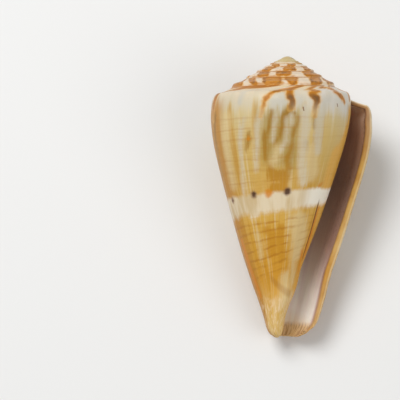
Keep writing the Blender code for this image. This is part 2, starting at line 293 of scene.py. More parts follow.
# Weaker pale places
CREAM = [
    [(-0.646, 44.2, 0.2), (-0.656, 47.3, 0.25), (-0.648, 50.9, 0.17)],
    [(-0.81, 42.6, 2.6), (-0.83, 47.5, 2.4), (-0.835, 53.4, 1.6)],
    [(-0.806, 52.2, 0.4), (-0.828, 56.4, 0.5), (-0.852, 61.7, 0.4)],
    [(-0.285, 48.3, 0.65), (-0.309, 54.6, 1), (-0.308, 60.3, 0.65)],
    [(-0.82, 22.9, 2.4), (-0.83, 28.8, 2.4)],
    [(-0.6, 12.6, 1.6), (-0.59, 18.5, 1.6), (-0.585, 30.4, 1.2)],
    [(-0.735, 21.5, 1.2), (-0.725, 24.9, 1.2)],
    [(-0.78, 58.4, 1.2), (-0.8, 66.2, 1.2)],
]

# Thin brown lines. Each follows a curve of the second degree: down the outline from a first to a last
# fall with its turn at both and its bulge, or round the whorl from a first to a last turn with its fall
LINES_DOWN = [
    (36.6, 57, -0.8902, -0.903, 0.003, 0.5, 1),
    (9.6, 11, -0.789, -0.792, 0, 0.2, 0.8),
    (8.6, 9.8, -0.885, -0.888, 0, 0.2, 0.8),
]
LINES_ROUND = [
    (-0.665, -0.87, 56, 65.4, 1.3, 1.1, 0.35),
]

# How far the marks' fields reach, and how far marks spread beyond their strokes
FIELD_REACH = 3.0
FIELD_TURNS = 0.12
BLOTCH_SPREAD = 0.5
BLOTCH_ROUND = 1.6
FLAME_SPREAD = 0.25
BACK_FLAME_SPREAD = 0.35
BACK_FLAME_TURNS = (-0.52, -0.44)

# Colours of 0 to 255, each at a fall in mm
# The ground is greyed a little at falls 3 to 8 as painted shade on the shoulder
GROUND = [
    (0, (222, 200, 160)), (3, (218, 202, 176)), (8, (208, 196, 170)), (12, (206, 186, 138)),
    (17, (208, 180, 116)), (25, (206, 172, 98)), (32, (206, 164, 84)), (40, (212, 168, 80)),
    (48, (207, 155, 56)), (57, (208, 150, 50)), (63, (214, 164, 78)), (69, (224, 186, 108)),
]
BACK_GROUND = [
    (0, (222, 200, 160)), (8, (212, 198, 170)), (12, (198, 174, 112)), (18, (190, 158, 80)),
    (32, (198, 154, 64)), (40, (206, 158, 58)), (50, (198, 140, 36)), (60, (198, 136, 38)),
    (66, (190, 124, 34)),
]
TAWNY_TONES = [
    (8, (146, 104, 34)), (16, (156, 114, 38)), (24, (168, 122, 38)), (32, (188, 132, 36)),
    (46, (196, 140, 42)), (58, (204, 146, 44)),
]
# The pale tones at falls 6 and 8 are greyed as painted shade on the shoulder
PALE_TONES = [
    (6, (202, 194, 178)), (8, (196, 191, 178)), (14, (198, 188, 164)), (30, (212, 199, 170)),
    (39.8, (228, 212, 184)), (40, (226, 196, 148)),
]
LIP_TONES = [
    (8, (168, 132, 96)), (20, (196, 154, 80)), (38, (204, 166, 102)), (44, (188, 138, 62)),
    (58, (204, 168, 116)),
]
MAUVE_TONES = [
    (8, (176, 136, 112)), (30, (180, 144, 126)), (44, (190, 154, 146)), (58, (200, 166, 156)),
]
WALL_TONES = [
    (6, (255, 232, 204)), (12, (236, 196, 166)), (24, (200, 170, 148)), (38, (214, 186, 164)),
    (44, (230, 212, 196)), (50, (244, 238, 226)), (56, (252, 247, 238)), (62, (244, 226, 192)),
]
WALL_STREAKS = [
    (6, (240, 198, 164)), (12, (204, 158, 132)), (24, (188, 154, 136)), (38, (206, 170, 156)),
    (44, (218, 194, 186)), (50, (238, 224, 218)), (56, (248, 238, 230)), (62, (230, 198, 142)),
]

# Colours of marks, each at how far inside the mark a place is, in mm
FLAME_TONES = [(-0.2, (214, 162, 82)), (0.1, (192, 128, 44)), (0.7, (172, 106, 32)), (1.6, (194, 132, 52))]
DARK_TONES = [(-0.2, (186, 134, 70)), (0.2, (150, 100, 48)), (0.9, (122, 86, 52))]
SPOT_TONES = [(-0.2, (140, 100, 74)), (0.2, (100, 68, 54)), (0.35, (78, 50, 38))]

# Layers of the skin, from below up. Each has what it shows, its share and its soft edges by the value that
# they run along. It shows a colour, or tones along a value. The values are those of Paint and the noises
BACK = (-0.56, -0.45)
BODY = (8.5, 12)
GROUND_LAYERS = [
    (('warped', BACK_GROUND), 0.5, {'turn': BACK, 'fall': (8, 15)}),
    # The whorls above, then painted grey shade on the shoulder at the right and a painted shadow under the
    # arc
    ((224, 204, 180), 0.75, {'turn': (-1.02, -1.1), 'fall': (9, 8)}),
    ((212, 209, 204), 0.65, {'turn': (-0.98, -0.95, -0.84, -0.77), 'warped': (13, 9)}),
    ((186, 186, 178), 0.6,
     {'turn': (-0.79, -0.765, -0.722, -0.705), 'fall': (4, 5.5), 'warped': (12, 9)}),
    # Golden and light streaks, fewer on the back, and soft bands round the back
    ((188, 136, 42), 0.55, {'golden': (0.1, 0.55), 'warped': BODY, 'turn': (BACK, (1, 0.45))}),
    ((222, 202, 156), 0.5, {'light': (0.12, 0.5), 'warped': BODY, 'turn': (BACK, (1, 0.45)),
                            'fall': ((44, 58), (1, 0.5))}),
    ((176, 126, 44), 0.5, {'back_bands': (0.46, 0.66), 'warped': BODY, 'turn': BACK}),
    # The golden left edge, its colour deepened in part as painted shade, the olive centre, and the golden
    # right edge between the streaks, lightened in part as painted light
    ((186, 124, 8), 0.85, {'turn': (-0.605, -0.56, -0.5, -0.43), 'warped': (5, 10)}),
    ((150, 124, 62), 0.62, {'turn': (-0.8, -0.77, -0.71, -0.665), 'warped': (8.5, 12, 23, 30)}),
    (('fall', TAWNY_TONES), 0.85, {'tawny': (-0.85, 0.6)}),
    # Painted light: the golden right edge is lighter than the shell's colour, against the shade on that side
    ((224, 168, 66), 0.75, {'right_edge': (-0.93, -0.958), 'turn': (-1.06, -1.03), 'fall': (8, 11)}),
    ((220, 198, 148), 0.7, {'cream': (-1.6, 1.2)}),
    (('fall', PALE_TONES), 0.8, {'pale': (-1, 0.9)}),
]
# How the golden right edge, with its painted light, slants down the outline
RIGHT_EDGE_SLANT = ((14, 25), (0, -0.055))
WORN_LAYERS = [
    ((236, 208, 166), 0.7, {'depth': (END_DEPTH - 11, END_DEPTH - 6), 'worn': (0.46, 0.6),
                            'turn': ((-0.6, -0.5), (1, 0.36))}),
]
BAND_WHITE = (226, 210, 180)
BAND_LAYERS = [
    ((208, 184, 142), 1, {'band_tone': (0.4, 0.675)}),
    ((246, 240, 226), 0.9, {'turn': (-0.79, -0.86)}),
    ((226, 204, 158), 0.6, {'turn': (-0.5, -0.42)}),
]
BAND = {'band_top': (32.9, 34.3), 'band_bottom': (40, 37.8)}
BAND_SLANT = ((-0.93, -0.86), (-1, 0))
BAND_SHARE = 0.94
BAND_GAPS = {'turn': (-0.5, -0.42), 'patch': (0.4, 0.6)}
BAND_GAP_SHARE = 0.3
UNDER_FLAMES = [
    ((210, 130, 28), 0.85, {'orange': (-0.6, 0.5)}),
    ((212, 168, 96), 0.5, {'flame': (-0.9, 0.1)}),
]
FLAME = {'flame': (-0.5, 0.4), 'fall': ((7.5, 12), (1, 0.3))}
DARK_FRONT = {'turn': (-0.87, -0.83, -0.755, -0.735), 'fall': (5.2, 7)}
DARK_FRONT_FADE = ((10, 13), (1, 0.3))
DARK_PATCHES = {'flame_shade': (0.5, 0.62)}
DARK_SHARES = [((-1.02, -1), (0.75, 0.45)), ((-0.5, -0.44), (0, 0.4))]
SUTURE_LINES = [
    ((168, 104, 38), 0.85, {'suture': (1.3, 0.3), 'suture_breaks': (0.4, 0.5)}),
    ((186, 124, 48), 0.7, {'turn': (-1.07, -1.1), 'above_suture': (5.2, 6.2), 'patch': (0.42, 0.54)}),
]
BACK_SPOTS = ((158, 106, 60), 0.6, {'turn': (-0.62, -0.5)})
SPOT_SHARE = 0.95
SPOT = {'spot': (-0.6, 0.45)}
APEX_LAYERS = [
    ((198, 178, 124), 0.85, {'turn': (-5.2, -6.6)}),
]
LIP = {'lip': (0.05, 0.35)}
LIP_MOTTLES = ((166, 112, 44), 0.45, {'lip_mottle': (0.4, 0.66)})
INNER_LAYERS = [
    ((226, 204, 164), 0.5, {'inward': (0, 0.1, 0.3, 0.55)}),
    (('fall', MAUVE_TONES), 1, {'wall_place': (1.3, 2)}),
]
WALL = {'wall_place': (2.2, 4)}
WALL_STREAK = {'wall_streak': (0.4, 0.62)}
CANAL_CREAM = (222, 184, 124)
CANAL_BROWN = ((172, 120, 62), 1, {'canal_mottle': (0.42, 0.6)})
CANAL = {'depth': (END_DEPTH - 3.6, END_DEPTH - 2), 'turn': (-0.5, -0.4), **LIP}
CANAL_SHARE = 0.8
GLAZE = {'turn': (-1.2, -1.1, -1.04, -0.965), 'fall': (8.5, 10.5)}
GLAZE_SHARE = 0.85

# Noises: length of the cells along the girth and down the outline, seed and detail
NOISES = {
    'coarse': (3.4, 60, 1, 2),
    'fine': (0.8, 26, 2, 2),
    'patch': (9, 8, 3, 2),
    'grain': (0.9, 1.1, 4, 2),
    'wobble': (16, 9, 5, 2),
    'small_wobble': (2.6, 2.6, 6, 2),
    'line_breaks': (7, 2.2, 7, 2),
    'band_edge': (3.2, 30, 8, 1),
    'band_tone': (3.2, 14, 9, 2),
    'ragged': (2.4, 2.2, 10, 1.5),
    'suture_breaks': (6, 40, 11, 2),
    'wall_streak': (5, 60, 12, 2),
    'growth': (0.45, 18, 13, 3),
    'striae': (30, 0.42, 14, 2),
    'shake': (2.2, 2.2, 15, 2),
    'streak_edge': (1.8, 7, 16, 2),
    'flame_shade': (4, 3.2, 17, 2),
    'lip_mottle': (1.3, 4.2, 18, 3),
    'back_bands': (36, 1.5, 19, 2),
    'canal_mottle': (1.4, 1.4, 20, 2),
    'worn': (1.7, 2.2, 21, 3),
}
NOISE_ROUGHNESS = 0.55

# Spiral lines: spacing, first, lowest and highest fall, width as a share of the spacing, strength in
# front and on the back
SPIRAL_LINES = [
    (2.35, 41.7, 40.5, 56, 0.46, 0.6, 0.62),
    (2.9, 12.6, 11, 33, 0.3, 0.22, 0.4),
    (1.7, 20.3, 17, 33, 0.4, 0.12, 0.42),
    (0.85, 0.3, 13, 58, 0.6, 0.14, 0.3),
]
LINES_AT_LEFT = ((-0.83, -0.76), (0.4, 1))
LINE_BREAKS = (0.32, 0.58)
MORE_BACK_LINES = 0.02
LINE_TONE = (172, 108, 30)
DOWN_TONE = (112, 62, 24)
ROUND_TONE = (158, 100, 34)

# Ends of the thin lines as distances from their middle, and their soft sides in half widths
LINE_ENDS = (0.36, 0.5)
LINE_SIDES = (1.6, 0.3)

# Gloss and relief of the shader
SHADER = {
    'Coat Weight': 0.05,
    'Coat Roughness': 0.12,
    'Specular IOR Level': 0.2,
    'Specular Tint': (1, 0.82, 0.5, 1),
    'Subsurface Weight': 0.1,
    'Subsurface Radius': (1, 0.75, 0.5),
    'Subsurface Scale': 1.2 * MM,
}
ROUGHNESS = 0.38
INSIDE_ROUGHNESS = ((0.5, 3), (0, -0.08))
BUMP_STRENGTH = 0.6
STRIAE_SHARE = ((30, 50), (0.35, 1))


def ease(value, low, high):
    t = np.clip((np.asarray(value, float) - low) / (high - low), 0, 1)
    return t * t * (3 - 2 * t)


def rough(x, y, seed):
    """Smooth noise from -1 to 1, with one random value at each whole x and y."""
    table = np.random.default_rng(seed).uniform(-1, 1, (97, 97))
    x, y = np.broadcast_arrays(np.asarray(x, float), np.asarray(y, float))
    column = np.floor(x).astype(int)
    row = np.floor(y).astype(int)
    u = ease(x - column, 0, 1)
    v = ease(y - row, 0, 1)
    size = len(table)
    corners = [table[(column + i) % size, (row + j) % size] for j in (0, 1) for i in (0, 1)]
    near = corners[0] * (1 - u) + corners[1] * u
    far = corners[2] * (1 - u) + corners[3] * u
    return near * (1 - v) + far * v


def shoulder_point(t):
    return SHOULDER_EDGE * (1 - t) ** 2 + SHOULDER_CORNER * 2 * t * (1 - t) + WIDEST * t * t


def top_outline():
    """Radius, depth and lag of the rows from the suture to the widest row, and their fall."""
    suture = shoulder_point(SUTURE_PLACE) / WHORL_RATIO ** (LAP / SEGMENTS)
    points = []
    lags = []
    for row in range(RAMP_ROWS):
        t = row / RAMP_ROWS
        points.append(suture + (SHOULDER_EDGE - suture) * t + np.array((0, RAMP_SAG * 4 * t * (1 - t))))
        lags.append(TAU * NOTCH_TURN * (1 - t) ** NOTCH_POWER)
    for t in SHOULDER_STEPS:
        points.append(shoulder_point(t))
        lags.append(0.0)
    points = np.array(points)
    steps = np.linalg.norm(np.diff(points, axis=0), axis=1)
    return points, np.array(lags), np.concatenate([[0.0], np.cumsum(steps)])


TOP_POINTS, TOP_LAGS, TOP_FALLS = top_outline()
WIDEST_FALL = TOP_FALLS[WIDEST_ROW]


def side_radius(depth):
    """Radius of the side at the lip, as a smooth curve through the outline's points."""
    radii = SIDE_OUTLINE[:, 0]
    depths = SIDE_OUTLINE[:, 1]
    slopes = np.zeros(len(radii))
    slopes[1:-1] = (radii[2:] - radii[:-2]) / (depths[2:] - depths[:-2])
    slopes[-1] = (radii[-1] - radii[-2]) / (depths[-1] - depths[-2])
    index = np.clip(np.searchsorted(depths, depth) - 1, 0, len(depths) - 2)
    span = depths[index + 1] - depths[index]
    t = np.clip((depth - depths[index]) / span, 0, 1)
    return (
        radii[index] * (2 * t ** 3 - 3 * t ** 2 + 1)
        + slopes[index] * span * (t ** 3 - 2 * t ** 2 + t)
        + radii[index + 1] * (3 * t ** 2 - 2 * t ** 3)
        + slopes[index + 1] * span * (t ** 3 - t ** 2)
    )


def wall_thickness(row):
    shoulder = np.clip((row - RAMP_ROWS) / (WIDEST_ROW - RAMP_ROWS), 0, 1)
    top = RAMP_WALL + (SIDE_WALL - RAMP_WALL) * shoulder
    return top + (END_WALL - SIDE_WALL) * ease(row, WIDEST_ROW + SIDE_ROWS * END_WALL_START, LAST_ROW)


def place(radius, depth, angle):
    depth = depth + BLUNT_APEX * np.exp(-depth / BLUNT_REACH)
    return np.stack([radius * np.cos(angle), radius * np.sin(angle), -depth], axis=-1)


def top_place(turn, row, points=TOP_POINTS):
    scale = WHORL_RATIO ** turn
    return place(points[row, 0] * scale, points[row, 1] * scale, TOP_LAGS[row] - TAU * turn)


def fasciole(depth, angle):
    ridge = FASCIOLE_SWELL * np.exp(-(((depth - FASCIOLE_DEPTH) / FASCIOLE_WIDTH) ** 2))
    return ridge * ease(angle, *FASCIOLE_START) * (1 - ease(angle, *FASCIOLE_END))


def side_place(turn, row, thickness=0.0):
    """Points and falls of the side, or with a thickness of its inner face."""
    scale = WHORL_RATIO ** turn
    angle = -TAU * turn
    start = WIDEST[1] * scale
    end = END_DEPTH - LIP_CORNER_DROP * np.exp(-((angle / LIP_CORNER_ANGLE) ** 2))
    step = row - WIDEST_ROW
    curl = math.pi / 2 * np.clip((step - SIDE_ROWS) / CURL_ROWS, 0, 1)
    depth = start + (end - END_CURL - start) * np.clip(step / SIDE_ROWS, 0, 1) + END_CURL * np.sin(curl)
    radius = scale * (side_radius(depth / scale) + fasciole(depth / scale, angle))
    near_end = ease(depth, END_SHARE * END_DEPTH, END_DEPTH)
    radius *= 1 + CANAL_BULGE * near_end * np.where(angle < math.pi, np.sin(angle) ** 2, 0)
    radius *= 1 + LIP_FLARE * near_end * np.where(angle < math.pi / 2, np.cos(angle) ** 2, 0)
    closing = END_CLOSING + (TIP_CLOSING - END_CLOSING) * ease(angle, *TIP_CLOSING_ANGLES)
    radius *= 1 - closing * (1 - np.cos(curl))
    points = place(radius - thickness, depth, angle)
    points[..., 0] -= COLUMELLA_SHIFT * near_end * ease(angle, *COLUMELLA_ANGLES)
    return points, WIDEST_FALL + depth / scale - WIDEST[1]


def surface(turn, row, inside=False):
    """Points and falls of a grid of turns and rows, on the outside or on the inner face."""
    turn, row = np.broadcast_arrays(turn, row)
    top = np.minimum(row, WIDEST_ROW)
    if inside:
        along = np.gradient(TOP_POINTS, axis=0)
        along[-1] = (0, 1)
        along /= np.linalg.norm(along, axis=1)[:, None]
        inward = np.stack([-along[:, 1], along[:, 0]], axis=1)
        moved = TOP_POINTS + inward * wall_thickness(np.arange(WIDEST_ROW + 1))[:, None]
        top_points = top_place(turn, top, moved)
        side_points, side_falls = side_place(turn, row, wall_thickness(row))
    else:
        top_points = top_place(turn, top)
        side_points, side_falls = side_place(turn, row)
    on_side = row > WIDEST_ROW
    points = np.where(on_side[..., None], side_points, top_points)
    return points, np.where(on_side, side_falls, TOP_FALLS[top])


def relief(turn, fall):
    """Height in mm at the lip's scale of the growth lines, the spiral grooves and the uneven wall."""
    girth = GIRTH * turn

    def layer(size, across, down, seed, shift=0.0):
        return size * rough(girth / across, (fall + shift) / down, seed)

    height = sum(layer(*row) for row in RELIEF)
    low = GROOVE_SHARE_ABOVE + (1 - GROOVE_SHARE_ABOVE) * ease(fall, *GROOVE_FALLS)
    return height + low * layer(*GROOVES, shift=layer(*GROOVE_WAVE))


def raised(points, turn, fall, amount=1.0):
    """The grid's points, moved along its normals by the relief."""
    across = np.gradient(points, axis=0)
    down = np.gradient(points, axis=1)
    normal = np.cross(down, across)
    normal /= np.linalg.norm(normal, axis=-1)[..., None] + TINY
    outward = np.sign(np.sum(normal[..., :2] * points[..., :2]))
    height = relief(turn, fall) * WHORL_RATIO ** turn * amount
    return points + normal * outward * height[..., None]


class Skin:
    """Vertices with their turn, fall and distance inward from the lip, and the faces between them."""

    def __init__(self):
        self.points = []
        self.turns = []
        self.falls = []
        self.inwards = []
        self.faces = []
        self.looks = []
        self.count = 0

    def add(self, points, turn, fall, inward):
        shape = points.shape[:-1]
        number = int(np.prod(shape))
        self.points.append(points.reshape(-1, 3))
        for values, value in ((self.turns, turn), (self.falls, fall), (self.inwards, inward)):
            values.append(np.broadcast_to(value, shape).reshape(-1))
        ids = np.arange(self.count, self.count + number).reshape(shape)
        self.count += number
        return ids

    def strip(self, ids, looks=None):
        """Faces between the neighbours in a grid of vertices. The looks say whose marks a corner shows."""
        for faces, grid in ((self.faces, ids), (self.looks, ids if looks is None else looks)):
            corners = [grid[:-1, :-1], grid[1:, :-1], grid[1:, 1:], grid[:-1, 1:]]
            faces += np.stack(corners, axis=-1).reshape(-1, 4).tolist()

    def face(self, ids):
        self.faces.append(ids)
        self.looks.append(ids)

    def joined(self):
        return [np.concatenate(values) for values in (self.points, self.turns, self.falls, self.inwards)]


def add_outside(skin, first):
    """All whorls by column and row. A suture row is shared with the whorl before."""
    columns = np.arange(first, 1)
    ids = np.full((len(columns), LAST_ROW + 1), -1)
    spire = np.arange(first, -LAP)
    last = np.arange(-LAP, 1)
    for part, rows in ((spire, np.arange(SUTURE_ROW + 1)), (last, np.arange(LAST_ROW + 1))):
        turn = np.broadcast_to(part[:, None] / SEGMENTS, (len(part), len(rows)))
        points, fall = surface(turn, rows[None, :])
        ids[part[0] - first:part[-1] - first + 1, :len(rows)] = skin.add(
            raised(points, turn, fall), turn, fall, 0.0)
    looks = ids.copy()
    ids[LAP:, 0] = ids[:-LAP, SUTURE_ROW]
    skin.strip(ids[:-LAP, :SUTURE_ROW + 1], looks[:-LAP, :SUTURE_ROW + 1])
    skin.strip(ids[-LAP - 1:], looks[-LAP - 1:])
    return ids


def add_hollow(skin, outside):
    """The hollow's two walls: the whorl before, and the inner face of the last whorl."""
    steps = np.arange(HOLLOW_STEPS + 1)[:, None]
    rows = np.arange(LAST_ROW + 1)[None, :]
    share = np.maximum(rows - WIDEST_ROW, 0) / (LAST_ROW - WIDEST_ROW)
    turns = HOLLOW_TURNS + (END_HOLLOW_TURNS - HOLLOW_TURNS) * share ** HOLLOW_POWER
    inner_turn = -turns * steps / HOLLOW_STEPS
    before_turn = -LAP / SEGMENTS - (turns - NOTCH_TURN) * steps / HOLLOW_STEPS
    inner_points, inner_fall = surface(inner_turn, rows, inside=True)
    before_points, before_fall = surface(before_turn, rows)
    reach = LIP_INWARD + np.linalg.norm(inner_points - inner_points[:1], axis=-1)
    inner_points = raised(inner_points, inner_turn, inner_fall, INNER_RELIEF)
    inner_ids = skin.add(inner_points, inner_turn, inner_fall, reach)
    low = slice(WIDEST_ROW, None)
    reach = np.linalg.norm(before_points - before_points[:1], axis=-1)
    raised_points = raised(before_points[:, low], before_turn[:, low], before_fall[:, low])
    before_ids = np.full(before_points.shape[:2], -1)
    before_ids[:, low] = skin.add(raised_points, before_turn[:, low], before_fall[:, low], reach[:, low])
    before_ids[0, low] = outside[-LAP - 1, low]
    looks = inner_ids.copy()
    inner_ids[:, 0] = before_ids[:, WIDEST_ROW]
    skin.strip(before_ids[:, low])
    skin.strip(inner_ids, looks)
    blind_top = inner_ids[-1, :WIDEST_ROW + 1].tolist()
    skin.face(blind_top)
    skin.strip(np.stack([before_ids[-1, low], inner_ids[-1, low]]))
    return before_ids, inner_ids


def add_rim(skin, first, last, rounding, power):
    """Rows of vertices from one edge to another, with a rounded edge between them."""
    points, turns, falls, _ = skin.joined()
    ids = np.empty((LIP_STEPS + 1, len(first)), int)
    ids[0] = first
    ids[-1] = last
    for step in range(1, LIP_STEPS):
        t = step / LIP_STEPS
        rim = points[first] + (points[last] - points[first]) * t
        rim += rounding * math.sin(math.pi * t) ** power
        ids[step] = skin.add(rim, turns[first], falls[first], LIP_INWARD * t)
    return ids


def add_lip(skin, outside, inner):
    """The lip's rounded and chipped edge, which ends at the suture on the shoulder of the whorl before."""
    rows = np.arange(LAST_ROW + 1)
    chips = sum(size * rough(rows / length, 0.0, seed) for size, length, seed in CHIPS)
    rounding = np.zeros((LAST_ROW + 1, 3))
    rounding[:, 1] = -LIP_ROUND - chips
    ids = add_rim(skin, outside[-1], inner[0], rounding, LIP_ROUND_POWER)
    looks = ids.copy()
    ids[:, 0] = outside[-LAP - 1, SUTURE_ROW:WIDEST_ROW + 1]
    looks[:, 0] = looks[:, 1]
    skin.strip(ids, looks)
    return ids


def add_cap(skin, loop, rings, tip):
    """Rings of faces from a loop of vertices in to one point."""
    turns, falls = [values[loop] for values in skin.joined()[1:3]]
    ids = [loop] + [skin.add(ring, turns, falls, 0.0) for ring in rings]
    ids = np.array([[*ring, ring[0]] for ring in ids])
    skin.strip(ids)
    middle = int(skin.add(tip[None], turns.mean(), falls.mean(), 0.0)[0])
    for first, second in zip(ids[-1, :-1].tolist(), ids[-1, 1:].tolist()):
        skin.face([first, second, middle])


def add_anterior_end(skin, outside, before, inner, lip):
    """The rounded rim of the canal's wall, and the columella's end."""
    outer = outside[::-1, LAST_ROW]
    ids = add_rim(skin, outer[:HOLLOW_STEPS + 1], inner[:, LAST_ROW], np.array((0, 0, -CANAL_ROUND)), 1.0)
    ids[:, 0] = lip[:, LAST_ROW]
    skin.strip(ids)
    loop = np.concatenate([
        outer[HOLLOW_STEPS:LAP + 1], before[1:, LAST_ROW], inner[-1:, LAST_ROW], ids[-2:0:-1, -1]])
    points = skin.joined()[0][loop]
    centre = points.mean(axis=0)
    rings = []
    for t in CAP_RINGS:
        ring = points + (centre - points) * t
        ring[:, 2] -= CAP_BULGE * (1 - (1 - t) ** 2)
        rings.append(ring)
    add_cap(skin, loop, rings, centre - np.array((0, 0, CAP_BULGE)))


def add_apex(skin, outside):
    """A low dome over the open start of the first whorl."""
    loop = np.concatenate([outside[0, SUTURE_ROW:0:-1], outside[:LAP, 0]])
    points = skin.joined()[0][loop]
    centre = np.array((0, 0, -BLUNT_APEX))
    rings = []
    for t in APEX_RINGS:
        ring = points + (centre - points) * t
        ring[:, 2] = points[:, 2] + (centre[2] - points[:, 2]) * math.sin(math.pi / 2 * t)
        rings.append(ring)
    add_cap(skin, loop, rings, centre)


def laid_down(points):
    """Turn the upright shell on its back and press its flat spot to the floor."""
    turn = np.array(Matrix.Rotation(PITCH - math.pi / 2, 3, 'X'))
    points = points @ turn.T + REST_SHIFT
    points[:, 2] = np.maximum(points[:, 2], 0)
    return points * MM


def outline_radius(fall):
    top = np.interp(fall, TOP_FALLS, TOP_POINTS[:, 0])
    side = side_radius(np.maximum(fall - WIDEST_FALL, 0) + WIDEST[1])
    return np.where(fall > WIDEST_FALL, side, top)


def stroke_field(turn, fall, strokes, spread=0.0):
    """How far inside the nearest stroke a place is, in mm at the lip's scale, and negative outside."""
    field = np.full(len(turn), -FIELD_REACH)
    girth = TAU * outline_radius(fall)
    for stroke in strokes:
        ends = stroke if len(stroke) > 1 else stroke * 2
        for (turn_a, fall_a, half_a), (turn_b, fall_b, half_b) in zip(ends[:-1], ends[1:]):
            margin = FIELD_REACH + max(half_a, half_b)
            near = np.abs(fall - (fall_a + fall_b) / 2) < margin + abs(fall_b - fall_a) / 2
            near &= np.abs(turn - (turn_a + turn_b) / 2) < FIELD_TURNS + abs(turn_b - turn_a) / 2
            where = np.nonzero(near)[0]
            x = (turn[where] - turn_a) * girth[where]
            y = fall[where] - fall_a
            along_x = (turn_b - turn_a) * girth[where]
            along_y = fall_b - fall_a
            length = along_x ** 2 + along_y ** 2 + TINY
            t = np.clip((x * along_x + y * along_y) / length, 0, 1)
            distance = np.hypot(x - along_x * t, y - along_y * t)
            half = half_a + (half_b - half_a) * t + spread
            field[where] = np.maximum(field[where], half - distance)
    return field


def blotch_field(turn, fall):
    """As stroke_field, for the blotches, whose turns are taken round the axis."""
    field = np.full(len(turn), -FIELD_REACH)
    round_axis = turn - np.interp(fall, TOP_FALLS, TOP_LAGS) / TAU
    girth = TAU * outline_radius(fall)
    for fall_a, first_a, last_a, fall_b, first_b, last_b in BLOTCHES:
        t = (fall - fall_a) / (fall_b - fall_a)
        before = (first_a + (first_b - first_a) * t - round_axis) * girth
        after = (round_axis - last_a - (last_b - last_a) * t) * girth
        sides = np.stack([before, after, fall - fall_a, fall_b - fall]) + BLOTCH_SPREAD
        corner = np.linalg.norm(np.maximum(BLOTCH_ROUND - sides, 0), axis=0)
        field = np.maximum(field, BLOTCH_ROUND - corner)
    return field


def add_marks(mesh, turn, fall, inward):
    """Each corner's place on the shell, and how far inside each kind of mark it is."""
    places, which = np.unique(np.stack([turn, fall], axis=1), axis=0, return_inverse=True)
    turns, falls = places.T
    flames = stroke_field(turns, falls, FLAMES, FLAME_SPREAD)
    flames += BACK_FLAME_SPREAD * ease(turns, *BACK_FLAME_TURNS)
    fields = [np.maximum(flames, blotch_field(turns, falls))]
    fields += [stroke_field(turns, falls, kind) for kind in (TAWNY, PALE, SPOTS, ORANGE_MARKS, CREAM)]
    fields = np.stack(fields, axis=1)[which.ravel()]
    values = {
        'skin': np.stack([GIRTH * turn, fall, inward], axis=1),
        'marks': fields[:, :3],
        'specks': fields[:, 3:],
    }
    for name, vectors in values.items():
        attribute = mesh.attributes.new(name, 'FLOAT_VECTOR', 'CORNER')
        attribute.data.foreach_set('vector', vectors.astype(np.float32).ravel())


def make_shell():
    skin = Skin()
    outside = add_outside(skin, -WHORLS * SEGMENTS)
    before, inner = add_hollow(skin, outside)
    lip = add_lip(skin, outside, inner)
    add_anterior_end(skin, outside, before, inner, lip)
    add_apex(skin, outside)
    points, turns, falls, inwards = skin.joined()
    used = np.unique(np.concatenate([np.ravel(face) for face in skin.faces]))
    renumber = np.full(len(points), -1)
    renumber[used] = np.arange(len(used))
    faces = []
    looks = []
    for face, look in zip(skin.faces, skin.looks):
        corners = {}
        for vertex, shown in zip(renumber[face].tolist(), look):
            corners.setdefault(vertex, int(shown))
        if len(corners) > 2:
            faces.append(list(corners))
            looks += corners.values()
    looks = np.array(looks)
    mesh = bpy.data.meshes.new('cone_shell')
    mesh.from_pydata(laid_down(points[used]), [], faces)
    add_marks(mesh, turns[looks], falls[looks], inwards[looks])
    work = bmesh.new()
    work.from_mesh(mesh)
    bmesh.ops.recalc_face_normals(work, faces=work.faces[:])
    work.to_mesh(mesh)
    work.free()
    mesh.shade_smooth()
    shell = bpy.data.objects.new('cone_shell', mesh)
    bpy.context.scene.collection.objects.link(shell)
    return shell


def linear(red, green, blue):
    """A colour of 0 to 255 as the shader wants it."""
    values = [((c / 255 + 0.055) / 1.055) ** 2.4 if c > 10 else c / 255 / 12.92 for c in (red, green, blue)]
    return (*values, 1.0)


